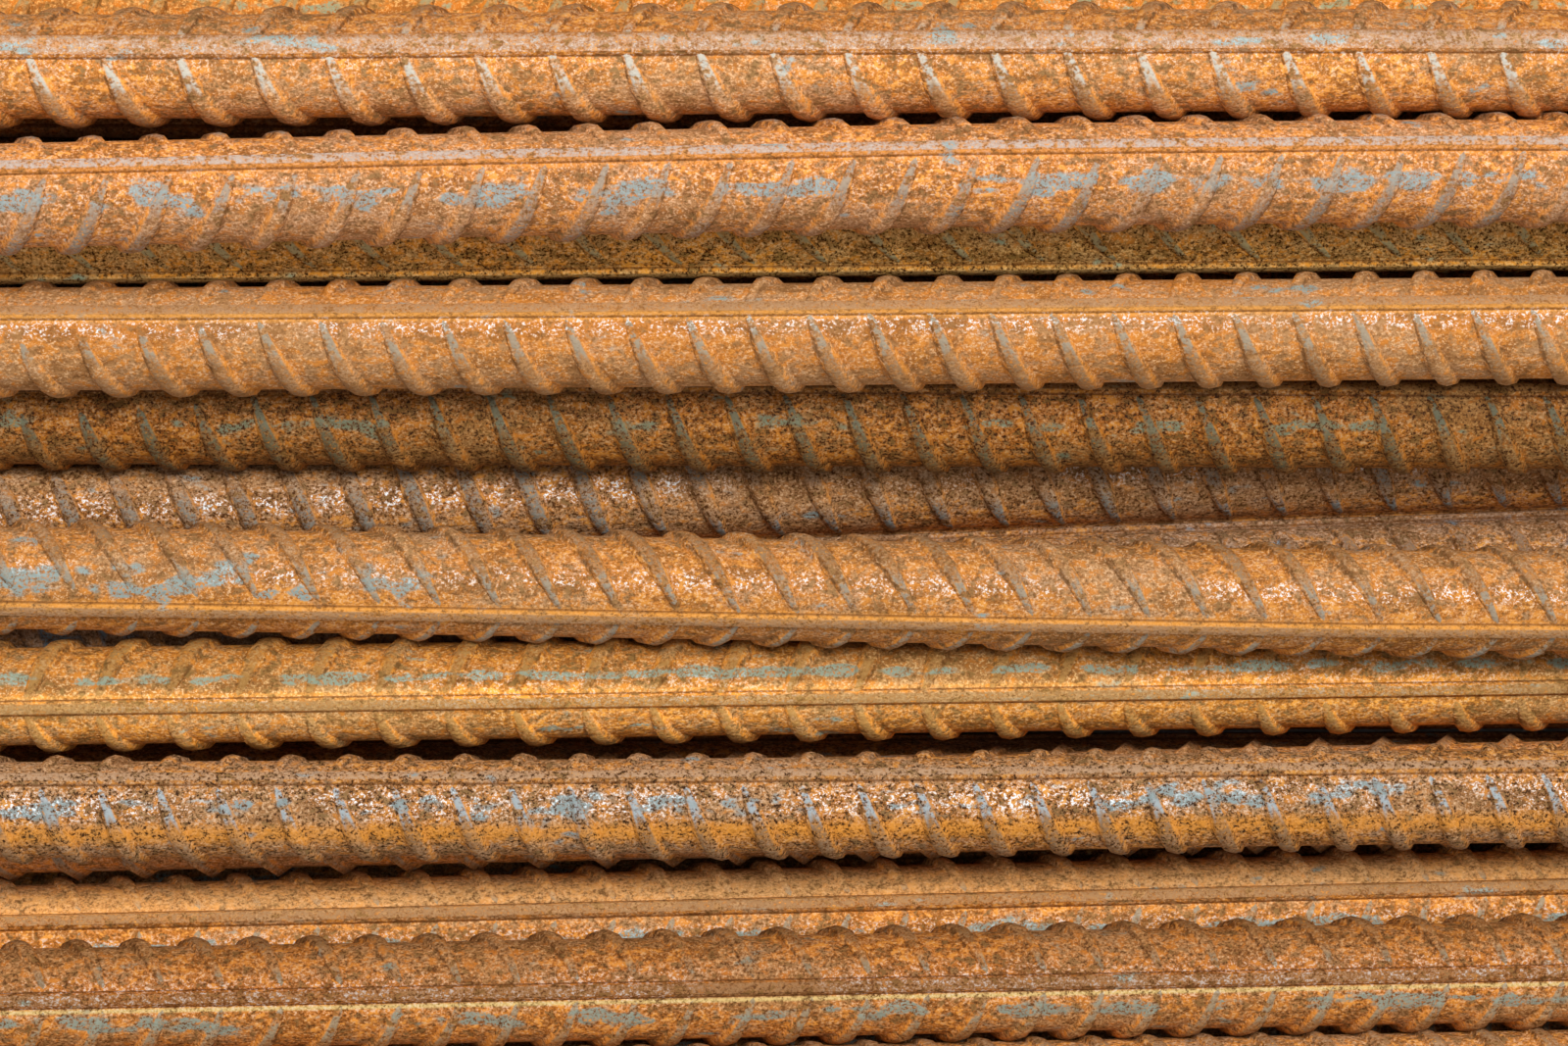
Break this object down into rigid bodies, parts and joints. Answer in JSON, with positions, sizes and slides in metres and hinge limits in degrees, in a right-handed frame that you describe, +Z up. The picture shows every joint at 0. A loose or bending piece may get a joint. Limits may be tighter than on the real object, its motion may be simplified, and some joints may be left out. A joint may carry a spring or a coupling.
{
  "type": "rebar bundle",
  "caption": "Bundle of straight rusty ribbed steel reinforcing bars lying flat, held together by twisted wire ties.",
  "frame": {"origin": "middle of the bundle's length and width, at the level of the floor that its wire ties rest on", "axes": "+X runs along the bars, to the right in the picture; +Y runs across the bundle, to the top edge of the picture; +Z is up"},
  "size_m": [3.0601, 0.2486, 0.0933],
  "materials": {
    "ribbed_bar": "rusty",
    "tie_wire": "rusty"
  },
  "bodies": {
    "root": {"bars_row_1": "ribbed_bar", "bars_row_2": "ribbed_bar", "bars_row_3": "ribbed_bar", "bars_top": "ribbed_bar", "tie_wire_1": "tie_wire", "tie_wire_2": "tie_wire", "tie_wire_3": "tie_wire", "tie_wire_4": "tie_wire"}
  },
  "joints": []
}
